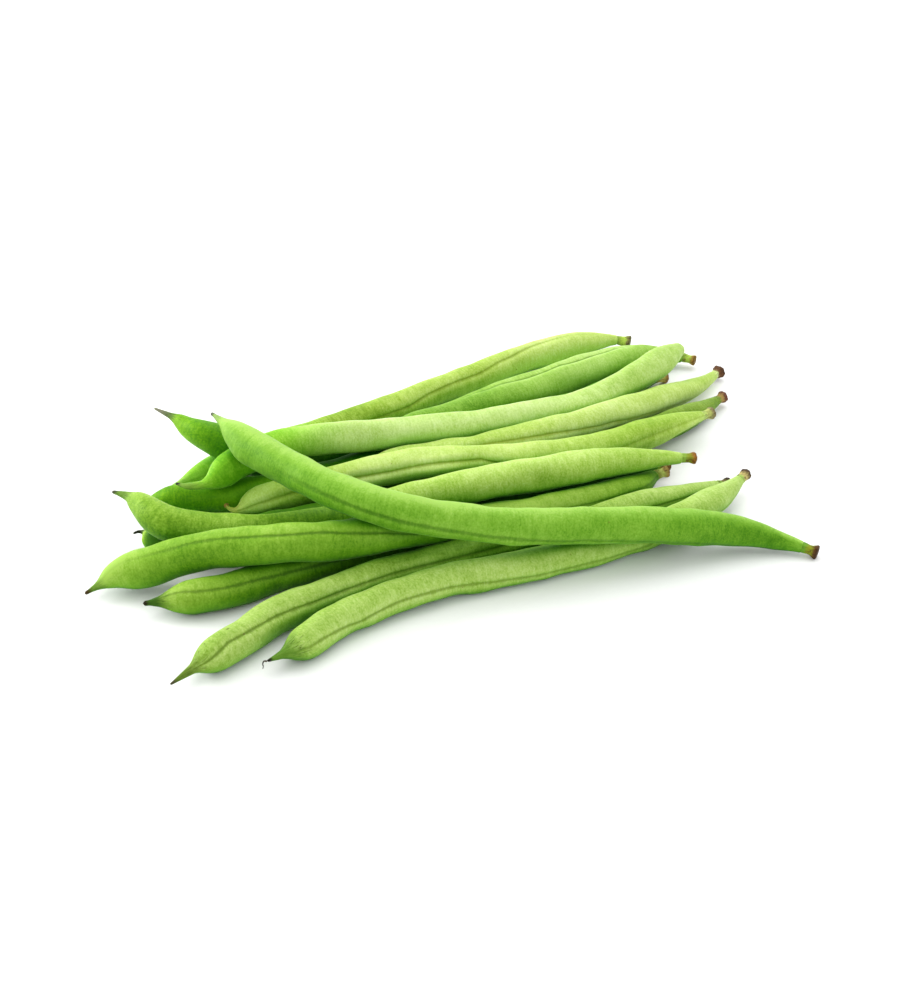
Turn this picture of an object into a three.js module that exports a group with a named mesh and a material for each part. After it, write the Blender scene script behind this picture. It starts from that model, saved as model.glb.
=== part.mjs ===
// A loose bundle of fourteen fresh green beans lying in a heap.
//
// Every bean is two pieces: the pod, with its pointed tail, and the woody stub of
// stem at the other end, where it was picked. One stem has snapped off.
// The stems point towards +X, the tails towards -X, and the beans lie on z = 0.

import * as THREE from 'three';

// Driving dimensions, in millimetres.
const GAP = 0.3;               // clear space between neighbouring pieces
const TAIL_TIP_RADIUS = 0.25;
const NECK_RADIUS = 1.3;       // the pod's end, under the stem
const BROKEN_NECK_RADIUS = 1.7; // the pod's end where the stem has snapped off
const SHOULDER_POWER = 0.9;    // below 1, the shoulder rounds out sooner than a sine curve
const STEM_LENGTH = 3.4;
const STEM_WAIST_RADIUS = 1.05;
const STEM_KNOB_RADIUS = 1.45;
const FLOOR_PRESS = 0.05;      // how far a pod flattens where it bears on the surface

// Fineness of the solids.
const POD_SIDES = 12;
const STEM_SIDES = 8;
const BODY_STEP = 8;           // mm between cross-sections along the pod's body
const TAIL_SECTIONS = [0, 0.5, 1]; // as parts of the tail's length, and so on
const SHOULDER_SECTIONS = [0.12, 0.3, 0.55, 0.8];
const NECK_SECTIONS = [0.3, 0.55, 0.75, 0.9, 1];

// Settling the heap.
const SAMPLES = 100;           // points along each bean that feel their neighbours
const SETTLE_ROUNDS = 160;
const HALF_SHARE = 0.5;        // each of two overlapping beans gives way by half

const Z_AXIS = new THREE.Vector3(0, 0, 1);

const FRESH = 0x74ad3a;
const DEEP = 0x5c9a2e;
const PALE = 0xa3ca66;
const STEM_BROWN = 0x6b4a2a;
const STEM_OLIVE = 0x8c8a3c;
const POD_ROUGHNESS = 0.5;
const STEM_ROUGHNESS = 0.8;

// The beans in the order they were laid. Width is the pod's thickness. Tail, shoulder and
// neck are lengths along the bean: the tail is root mm in radius where the shoulder starts,
// the shoulder widens from there to the full pod, and the neck narrows to the stem. The
// line runs along the middle of the bean, from the tail's tip to the stem's end, as [x, y, z].
const BEANS = [
  {
    name: 'bean_01', width: 7.4, tail: 5, root: 1, shoulder: 13, neck: 19, skin: PALE, stem: STEM_OLIVE,
    line: [
      [-70, 14, 3], [-63, 19, 3.5], [-55, 25, 3.6], [-44, 33, 3.6], [-31, 42, 3.6], [-18, 51, 3.6],
      [-5, 60.8, 3.6], [8, 70.8, 3.6], [21, 80.6, 3.6], [35, 88, 3.5], [46, 92.1, 2.8], [50, 91.2, 2.4],
    ],
  },
  {
    name: 'bean_02', width: 7.2, tail: 3, root: 0.5, shoulder: 4.5, neck: 15, skin: DEEP, stem: STEM_BROWN,
    line: [
      [-75, -5.4, 3.5], [-73, -4.8, 3.7], [-71, -6.8, 3.5], [-67, -8, 3.5], [-58, -6.5, 3.6],
      [-45, -3, 3.6], [-30, 2, 3.6], [-14, 6, 3.6], [2, 9, 3.6], [17, 12, 3.6], [33, 16, 3.6],
      [46, 23, 3.1], [55, 27, 2.5],
    ],
  },
  {
    name: 'bean_03', width: 8, tail: 4.5, root: 1.5, shoulder: 7, neck: 15, skin: DEEP, stem: STEM_BROWN,
    line: [
      [-69, -34, 3.7], [-61, -32.5, 3.9], [-52, -30, 4], [-40, -23, 4], [-25, -16, 4], [-11, -9, 4],
      [4, -2, 4], [19, 2, 4], [34, 8, 4], [46, 15, 3.8], [50.5, 20, 3.7], [54, 22, 3.7],
    ],
  },
  {
    name: 'bean_04', width: 8, tail: 7.5, root: 1.3, shoulder: 6.5, neck: 24, skin: PALE, stem: STEM_BROWN,
    line: [
      [-59.5, -63, 3.4], [-54.5, -57, 3.7], [-48, -50.5, 4], [-39, -39.5, 4], [-26, -30, 4], [-12, -22, 4],
      [3, -15, 4], [17, -9, 4.1], [32, -3, 4.4], [46, 4.5, 4.4], [60, 13, 2.9], [69, 20, 2],
    ],
  },
  {
    name: 'bean_05', width: 7.6, tail: 4.5, root: 1.2, shoulder: 6, neck: 19, skin: PALE, stem: STEM_BROWN,
    line: [
      [-39.5, -55, 3.5], [-33, -50, 3.7], [-27, -43, 3.9], [-16, -34, 3.9], [-2, -26, 4.2], [13, -21, 3.8],
      [28, -15, 3.8], [42, -8, 3.8], [56, -0.5, 4.8], [67, 10.5, 5], [73, 18.8, 5],
    ],
  },
  {
    name: 'bean_06', width: 8, tail: 5, root: 1, shoulder: 7, neck: 14, skin: DEEP, stem: STEM_OLIVE,
    line: [
      [-78, 7, 3.6], [-70, 8.2, 3.8], [-60, 9, 4], [-46, 13.2, 4], [-33, 18.8, 4], [-10, 30, 3.6],
      [3, 36, 3.6], [16, 43.6, 3.6], [30, 51.5, 3.6], [43, 60.5, 3.6], [50, 66.5, 3], [55, 71.5, 2],
      [58.5, 73, 1.6],
    ],
  },
  {
    name: 'bean_07', width: 7.2, tail: 5, root: 1, shoulder: 7, neck: 20, skin: DEEP, stem: STEM_BROWN,
    line: [
      [-24, 10, 1.7], [-16, 13, 3.1], [-7, 15, 3.7], [6, 19, 3.6], [21, 25, 3.6], [35, 32, 3.6],
      [49, 40, 3.6], [62, 49.5, 3.3], [69, 57.5, 2.6], [72.5, 61.5, 2.4],
    ],
  },
  {
    name: 'bean_08', width: 8.6, tail: 5.5, root: 0.8, shoulder: 18, neck: 20, skin: DEEP, stem: STEM_OLIVE,
    line: [
      [-73.6, 32, 16], [-67.3, 27.8, 15.1], [-63.4, 24.7, 13.9], [-59, 23, 12.5], [-46, 21, 7],
      [-32, 27, 4.4], [-18, 35, 4.3], [9, 52, 4.3], [36, 70, 4.3], [49, 77.5, 4.1], [57, 81.5, 3.4],
      [63, 82.5, 2.7], [67, 81, 2.4],
    ],
  },
  {
    name: 'bean_09', width: 7, tail: 5, root: 1, shoulder: 8, neck: 30, skin: PALE, stem: STEM_BROWN,
    line: [
      [-26, 16, 6.5], [-20, 18, 6.8], [-10, 20.5, 7.4], [0, 23, 8.2], [15, 28, 8.9], [30, 34, 9.5],
      [43, 43, 8.2], [55, 53.5, 6.1], [67, 67, 3], [73, 75.8, 2],
    ],
  },
  {
    name: 'bean_10', width: 7.8, tail: 5, root: 1, shoulder: 6.5, neck: 22, skin: PALE, stem: STEM_OLIVE,
    line: [
      [-54, 5.3, 4.8], [-51.5, 2, 5], [-47.5, 3.2, 5.7], [-39, 6.2, 7.1], [-25.5, 9.4, 9.2], [-10, 12.7, 11.2],
      [6, 15.5, 10.7], [21, 19, 9.5], [36, 25, 8.2], [50, 33.3, 8.1], [59, 39.5, 7.6], [67.5, 45.2, 7],
    ],
  },
  {
    name: 'bean_11', width: 7.7, tail: 8.5, root: 1.2, shoulder: 7, neck: 12, skin: PALE, stem: null,
    line: [
      [-66, 7.6, 9.3], [-63, 5.5, 9.8], [-58, 5.4, 10.8], [-51.5, 11.5, 12.4], [-40, 19, 13.2], [-25, 24, 12.2],
      [-9, 28, 11.2], [6, 33, 10], [21, 40.5, 8.7], [35, 47.5, 8], [46, 57.5, 8.6], [55, 66.5, 9.4],
      [61.5, 73.5, 10.2],
    ],
  },
  {
    name: 'bean_12', width: 8.2, tail: 5, root: 1.3, shoulder: 13, neck: 32, skin: FRESH, stem: STEM_BROWN,
    line: [
      [-80, 0, 11.8], [-76, -1.6, 11.5], [-72.4, -5, 11], [-66, -11.2, 10.2],
      [-52.5, -12, 8.5], [-37, -9, 7.1], [-22, -4, 7.5], [-7, 1.4, 9.1], [8.5, 6, 10.4], [24, 10, 11],
      [39, 15, 10.5], [51, 19.7, 8.8], [60.7, 22.5, 7.3],
    ],
  },
  {
    name: 'bean_13', width: 8.9, tail: 4, root: 1, shoulder: 11, neck: 16, skin: FRESH, stem: STEM_BROWN,
    line: [
      [-83, -28.6, 2.5], [-80, -26, 3.1], [-76, -23.8, 4.5], [-67.5, -22.8, 6.6], [-54, -22.7, 10.3],
      [-38.5, -23.6, 12.7], [-23, -19.5, 11.6], [-8, -14, 10.9], [5.5, -8, 9.7], [14.5, -4.6, 8],
    ],
  },
  {
    name: 'bean_14', width: 8.4, tail: 6, root: 1.3, shoulder: 14, neck: 28, skin: FRESH, stem: STEM_BROWN,
    line: [
      [-58, 21.5, 20.7], [-55, 17.5, 20.7], [-52, 13, 20.7], [-47.5, 6.5, 20.7], [-38, -3.3, 20.7],
      [-26, -14, 20.7], [-12, -20, 19.2], [4, -20, 16.3], [20, -18, 13.8], [35, -14.5, 11.9],
      [50.5, -11, 9.4], [66, -7.3, 5.7], [76, -7.3, 3.3], [83, -9, 2], [86.5, -10.6, 1.5],
    ],
  },
];

function lineCurve(bean) {
  const points = bean.line.map(([x, y, z]) => new THREE.Vector3(x, y, z));
  return new THREE.CatmullRomCurve3(points, false, 'centripetal');
}

function podLength(bean) {
  return bean.curve.getLength() - (bean.stem === null ? 0 : STEM_LENGTH + GAP);
}

// The pod's radius at a distance along the line from the tail's tip.
function podRadius(bean, distance) {
  const full = bean.width / 2;
  if (distance < bean.tail) {
    return THREE.MathUtils.lerp(TAIL_TIP_RADIUS, bean.root, distance / bean.tail);
  }
  const neckEnd = bean.stem === null ? BROKEN_NECK_RADIUS : NECK_RADIUS;
  const shoulder = Math.min(1, (distance - bean.tail) / bean.shoulder);
  const neck = THREE.MathUtils.clamp((podLength(bean) - distance) / bean.neck, 0, 1);
  const filled = Math.sin((shoulder * Math.PI) / 2) ** SHOULDER_POWER;
  const fromTail = THREE.MathUtils.lerp(bean.root, full, filled);
  const fromStem = THREE.MathUtils.lerp(neckEnd, full, Math.sin((neck * Math.PI) / 2));
  return Math.min(fromTail, fromStem);
}

// Radius of the whole bean, stem included, that its neighbours must clear.
function reach(bean, distance) {
  return distance > podLength(bean) ? STEM_KNOB_RADIUS : podRadius(bean, distance);
}

// --- settling: neighbours that overlap push each other apart ---

// Spaced points along a bean, each with the control points that carry it.
function sampleBean(bean) {
  bean.curve.updateArcLengths();
  const length = bean.curve.getLength();
  const last = bean.curve.points.length - 1;
  return Array.from({ length: SAMPLES + 1 }, (_, i) => {
    const u = i / SAMPLES;
    const place = bean.curve.getUtoTmapping(u) * last;
    const before = Math.min(Math.floor(place), last - 1);
    return {
      at: bean.curve.getPointAt(u),
      radius: reach(bean, u * length),
      before,
      share: place - before,
    };
  });
}

// Adds a push at a sample to the two control points on either side of it.
function push(bean, sample, direction, amount) {
  const shares = [1 - sample.share, sample.share];
  shares.forEach((share, i) => {
    const control = bean.pushes[sample.before + i];
    control.sum.addScaledVector(direction, amount * share);
    control.weight += share;
  });
}

function pushApart(first, second) {
  const direction = new THREE.Vector3();
  for (const a of first.samples) {
    for (const b of second.samples) {
      const clear = a.radius + b.radius + GAP;
      const squared = a.at.distanceToSquared(b.at);
      if (squared >= clear * clear) continue;
      const distance = Math.sqrt(squared);
      direction.subVectors(a.at, b.at).divideScalar(distance);
      push(first, a, direction, clear - distance);
      push(second, b, direction, distance - clear);
    }
  }
}

// A pod's lowest side is a flat of its cross-section, pressed on the surface.
function liftOffFloor(bean) {
  const flat = Math.cos(Math.PI / POD_SIDES);
  for (const sample of bean.samples) {
    const lowest = sample.at.z - sample.radius * flat + FLOOR_PRESS;
    if (lowest < 0) push(bean, sample, Z_AXIS, -lowest / HALF_SHARE);
  }
}

function settle(beans) {
  for (let round = 0; round < SETTLE_ROUNDS; round += 1) {
    for (const bean of beans) {
      bean.samples = sampleBean(bean);
      bean.pushes = bean.curve.points.map(() => ({ sum: new THREE.Vector3(), weight: 0 }));
    }
    beans.forEach((second, i) => {
      for (const first of beans.slice(0, i)) pushApart(first, second);
    });
    beans.forEach(liftOffFloor);
    for (const bean of beans) {
      bean.curve.points.forEach((point, i) => {
        const { sum, weight } = bean.pushes[i];
        if (weight > 0) point.addScaledVector(sum, HALF_SHARE / weight);
      });
    }
  }
  for (const bean of beans) bean.curve.updateArcLengths();
}

// --- solids: a turned profile bent along the bean's line ---

// Bends a lathe-turned solid, whose axis is its own Y, along a curve. The profile's
// y is the distance along the curve, and no corner goes below the surface.
function bendAlong(geometry, curve) {
  const length = curve.getLength();
  const position = geometry.getAttribute('position');
  const corner = new THREE.Vector3();
  for (let i = 0; i < position.count; i += 1) {
    corner.fromBufferAttribute(position, i);
    const u = THREE.MathUtils.clamp(corner.y / length, 0, 1);
    const tangent = curve.getTangentAt(u);
    const side = new THREE.Vector3().crossVectors(tangent, Z_AXIS).normalize();
    const top = new THREE.Vector3().crossVectors(side, tangent);
    const bent = curve.getPointAt(u).addScaledVector(side, corner.x).addScaledVector(top, corner.z);
    position.setXYZ(i, bent.x, bent.y, Math.max(0, bent.z));
  }
  geometry.computeVertexNormals();
  return geometry;
}

function turned(profile, sides) {
  const points = profile.map(([radius, along]) => new THREE.Vector2(radius, along));
  return new THREE.LatheGeometry(points, sides, Math.PI / sides);
}

// Distances from the tail's tip at which the pod has a cross-section.
function podStations(bean) {
  const length = podLength(bean);
  const bodyStart = bean.tail + bean.shoulder;
  const bodyEnd = length - bean.neck;
  const steps = Math.ceil((bodyEnd - bodyStart) / BODY_STEP);
  const tail = TAIL_SECTIONS.map((part) => part * bean.tail);
  const shoulder = SHOULDER_SECTIONS.map((part) => bean.tail + part * bean.shoulder);
  const body = Array.from({ length: steps + 1 }, (_, i) => bodyStart + ((bodyEnd - bodyStart) * i) / steps);
  const neck = NECK_SECTIONS.map((part) => bodyEnd + part * bean.neck);
  return [...tail, ...shoulder, ...body, ...neck];
}

function podGeometry(bean) {
  const stations = podStations(bean);
  const sections = stations.map((along) => [podRadius(bean, along), along]);
  const profile = [[0, 0], ...sections, [0, stations.at(-1)]];
  return bendAlong(turned(profile, POD_SIDES), bean.curve);
}

// The stem is narrowest where it leaves the pod and ends in a rounded knob.
function stemGeometry(bean) {
  const start = podLength(bean) + GAP;
  const profile = [
    [0, 0],
    [NECK_RADIUS * 0.9, 0],
    [STEM_WAIST_RADIUS, 0.3],
    [STEM_WAIST_RADIUS, 0.5],
    [STEM_KNOB_RADIUS, 0.72],
    [STEM_KNOB_RADIUS, 0.9],
    [STEM_KNOB_RADIUS * 0.75, 1],
    [0, 1],
  ];
  const placed = profile.map(([radius, part]) => [radius, start + part * STEM_LENGTH]);
  return bendAlong(turned(placed, STEM_SIDES), bean.curve);
}

function piece(name, geometry, color, roughness) {
  const material = new THREE.MeshStandardMaterial({ color, roughness, metalness: 0 });
  const mesh = new THREE.Mesh(geometry, material);
  mesh.name = name;
  return mesh;
}

const group = new THREE.Group();
const beans = BEANS.map((bean) => ({ ...bean, curve: lineCurve(bean) }));
settle(beans);
for (const bean of beans) {
  group.add(piece(`${bean.name}_pod`, podGeometry(bean), bean.skin, POD_ROUGHNESS));
  if (bean.stem !== null) {
    group.add(piece(`${bean.name}_stem`, stemGeometry(bean), bean.stem, STEM_ROUGHNESS));
  }
}

// The origin is under the middle of the heap, on the surface that it lies on.
const box = new THREE.Box3().setFromObject(group);
const middle = box.getCenter(new THREE.Vector3());
group.position.set(-middle.x, -middle.y, -box.min.z);

export default group;
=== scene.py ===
import math

import bmesh
import bpy
import numpy as np
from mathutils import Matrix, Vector


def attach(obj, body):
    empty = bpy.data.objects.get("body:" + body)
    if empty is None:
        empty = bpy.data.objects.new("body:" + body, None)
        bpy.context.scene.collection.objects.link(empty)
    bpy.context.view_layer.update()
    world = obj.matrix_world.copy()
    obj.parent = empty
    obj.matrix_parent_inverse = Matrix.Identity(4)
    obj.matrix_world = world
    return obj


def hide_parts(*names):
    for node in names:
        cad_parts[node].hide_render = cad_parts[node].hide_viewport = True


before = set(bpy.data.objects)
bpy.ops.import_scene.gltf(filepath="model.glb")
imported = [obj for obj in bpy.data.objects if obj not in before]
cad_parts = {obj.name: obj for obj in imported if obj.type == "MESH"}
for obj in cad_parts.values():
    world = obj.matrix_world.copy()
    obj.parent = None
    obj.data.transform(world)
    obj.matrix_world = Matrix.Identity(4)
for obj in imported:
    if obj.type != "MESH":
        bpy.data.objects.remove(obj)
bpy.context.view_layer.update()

MM = 0.001
FULL_TURN = 2 * math.pi
WHITE = (1.0, 1.0, 1.0, 1.0)

# The number of sides of the rings in the CAD solids.
CAD_POD_SIDES = 12
CAD_STEM_SIDES = 8

# Fineness of the pods and stems.
POD_COLUMNS = 72       # vertices around a pod
SEAM_CROWDING = 0.33   # how far those vertices crowd towards the two seams
STATION_STEP = 0.6     # mm between rings along a pod's body
END_STEP = 0.25        # mm between rings near its ends
END_LENGTH = 9.0       # mm of each end that gets the finer rings
RADIUS_SPAN = 0.9      # mm to each side over which a pod's radius is evened out
DIRECTION_SPAN = 1.8   # mm to each side over which its direction is taken
STEM_COLUMNS = 40
STEM_RINGS = 60
THREAD_COLUMNS = 8
THREAD_RINGS = 40

# The pod's surface, in mm.
SWELL = 0.08           # the pods grow into the gap that the CAD solids keep
VALLEY_SPREAD = 0.75   # the shallow valley along each seam
LIP_PLACE = 1.6        # the swelling beside it
LIP_SPREAD = 0.8
LIP_SHARE = 0.4        # its height, as a share of the valley's depth
VALLEY_LEVEL = 0.8     # the valley's usual depth, as a share, and two slow waves in it
VALLEY_WAVES = [(3.1, 0.2), (13, 0.25)]  # mm for each radian, height
FAR_LIP_PLACE = 2.0    # a lip that stands proud on the seam's far side
FAR_LIP_SPREAD = 1.2
GROOVE_DEPTH = 0.09    # the fine groove at the valley's bottom
GROOVE_SPREAD = 0.2
SEED_MARGIN = 16       # the length at each end without seeds
SEED_SPACING = 10.5
SEED_STRAY = 2         # how far a seed lies off its even place, at most
SEED_SPREAD = 3.2
SEED_SIZES = (0.4, 1.0)
SEED_LEVEL = 0.4       # the height of a seed that leaves the wall where it was
LUMPS = [(6.5, 0.03), (9, 0.05), (14, 0.08), (23, 0.12), (41, 0.14)]  # wavelength, height
LUMP_TURNS = (1, 2, 3)  # each lump is there with one, two and three waves around the pod
LUMP_SIZES = (0.2, 1.0)
TAIL_FOLD_PLACE = 5.0  # folds where the pod narrows to its tail and to its stem
TAIL_FOLD_SPREAD = 4.5
NECK_FOLD_SPREAD = 6.0
FOLD_DEPTH = 0.07
FOLDS_AROUND = 7
PHASES = (0, 6)        # random starts of the surface's waves, in radians
KNOB_PLACE = 0.6       # the swelling at the very end of a tail
KNOB_SPREAD = 0.6
TAIL_ROUNDING = 0.5    # the lengths over which a pod's two ends round off
NECK_ROUNDING = 0.4
LEAST_ROUNDING = 0.02  # the share of the radius that is left at the very ends

# The painted highlight, a paler band along each pod's top: its middle, in radians behind the top,
# and how sharply it fades.
PAINTED_HIGHLIGHT_BEHIND_TOP = 0.3
PAINTED_HIGHLIGHT_POWER = 4

# The stem's surface.
STEM_SEED = 100        # added to the bean's own seed
STEM_GROWTH_END = 0.6  # share of the stub's length where it has grown to its full thickness
STEM_RIBS = [(5, 0.045), (9, 0.03)]  # how many around the stub, height as a share of its radius
STEM_LUMPS_AROUND = 2
STEM_LUMP_TWIST = 5    # radians that the lumps turn along the stub
STEM_LUMP_HEIGHT = 0.05

# Stem profile: how far along the stub, and its radius in mm.
STEM_PROFILE = np.array([
    (-0.3, 1.2), (0.0, 1.22), (0.15, 1.17), (0.32, 1.1), (0.5, 1.12), (0.62, 1.24), (0.74, 1.38),
    (0.84, 1.46), (0.93, 1.42), (0.98, 1.2), (1.0, 0.85), (0.985, 0.5), (0.97, 0.25),
])

# The dried thread on a tail's tip.
THREAD_RADII = (0.2, 0.08)  # mm at the tip and at the thread's end
THREAD_LOOKS = dict(tone=(60, 50, 35), stem=(60, 50, 35), rim=(30, 25, 20))
THREAD_RIM_LENGTH = 3.0

# A pod's five greens from deepest to palest, as powers of its middle tone, and how pale
# the deepest and the palest are on the scale that the beans' looks use.
GREEN_POWERS = (1.8, 1.35, 1.0, 0.78, 0.6)
GREEN_STOPS = (0.0, 0.25, 0.5, 0.75, 1.0)
DEEPEST = -0.5
PALEST = 1.5

# Textures of the pod: scales per mm along it and across it, detail, roughness, and a shift
# that keeps each one apart from the others.
POD_NOISES = {
    "patches": ((0.06, 0.14, 0.14), 1.0, 0.5, 0),
    "blotches": ((0.42, 0.32, 0.32), 3.0, 0.6, 2),
    "wobble": ((0.45, 0.0, 0.0), 2.0, 0.5, 3),
    "streaks": ((1.6, 0.28, 0.28), 2.0, 0.6, 5),
    "grain": ((2.6, 2.0, 2.0), 2.0, 0.6, 9),
    "fibres": ((0.5, 3.0, 3.0), 2.0, 0.6, 12),
}
POD_NOISE_STEP = 17.0  # shift from one bean to the next
GREEN_VARIATION = {"patches": 1.0, "blotches": 0.8, "streaks": 0.8, "grain": 1.3}

# The seam line, in mm from its middle, and the paler band on each side of it.
SEAM_WIDTHS = (0.16, 0.34)
WIDTH_WOBBLE = (0.3, 0.7)   # the texture's values that give the two widths
SEAM_EDGE = (0.3, 2.4)      # where the line starts and stops fading, in widths
SEAM_STRENGTH = 0.7
SEAM_TINT = (0.9, 0.75, 0.6)
BAND_START = (0.3, 0.8)
BAND_END = (0.9, 2.2)
BAND_PALENESS = 0.22

END_TONE_FADE = (28.0, 50.0)  # mm from the tail's tip

# Brown specks, one in a few of the cells of a pattern, and brown marks.
CELL_SCALE = 0.3            # cells per mm
EMPTY_CELLS = 0.92
SPECK_EDGE = (0.03, 0.08)
SPECK_STRENGTH = 0.7
SPECK_COLOUR = (104, 84, 34)
MARK_EDGE = (0.7, 1.5)      # in sizes of the mark
MARK_STRENGTH = 0.8
MARK_COLOUR = (76, 62, 26)

# The tail's colours, whose borders are given in lengths of the tail or of its tip.
TAIL_RAGGEDNESS = 3.0       # mm
TAIL_EDGE = (0.6, 1.3)
TAIL_STRENGTH = 0.9
FIBRES_SEEN = (0.5, 0.7)
FIBRES_EDGE = (0.8, 1.6)
FIBRES_STRENGTH = 0.85
FIBRES_TINT = (0.4, 0.4, 0.35)
TIP_EDGE = (0.5, 1.6)

# Painted shade: the green is darkened between neighbouring beans, where shade falls. For each
# shade: how far a neighbour is felt, in metres, how open the place is where the shade is full
# and where it ends, and the tint.
PAINTED_CREVICE_SHADE = [
    (0.006, 0.1, 0.68, (0.22, 0.5, 0.14, 1.0)),
    (0.014, 0.2, 0.9, (0.62, 0.88, 0.35, 1.0)),
]
PAINTED_SHADE_SAMPLES = 8

# The pod's gloss and fine relief: the texture's values, and the roughness at each of them.
POD_ROUGHNESS = (0.3, 0.7, 0.46, 0.6)
STREAK_RELIEF = 0.5         # as shares of the grain's relief
BLOTCH_RELIEF = 1.5

# Textures of the stem, as for the pod, and its colours, whose borders are given in lengths
# of the stub.
STEM_NOISES = {
    "fibres": ((0.5, 3.4, 3.4), 3.0, 0.6, 0),
    "blots": ((1.2, 1.2, 1.2), 3.0, 0.6, 7),
}
STEM_NOISE_STEP = 11.0
STEM_RAGGEDNESS = 1.6       # mm
BARK_EDGE = (0.0, 0.35)
RIM_EDGE = (0.45, 0.8)
DARK_RIM_EDGE = (0.82, 0.9)
DARK_RIM_STRENGTH = 0.6
DARK_TINT = (0.3, 0.25, 0.25)
FIBRE_SHADE = (0.45, 0.42, 0.4, 1.0)
FIBRES_SHADED = (0.35, 0.6, 0.55, 0.0)  # the texture's values, and the shade at each of them
BLOTS_DARKENED = (0.52, 0.7, 0.0, 0.7)
BLOTS_AT_EDGE = (0.3, 0.55)
STEM_ROUGHNESS = (0.3, 0.7, 0.6, 0.8)
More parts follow.
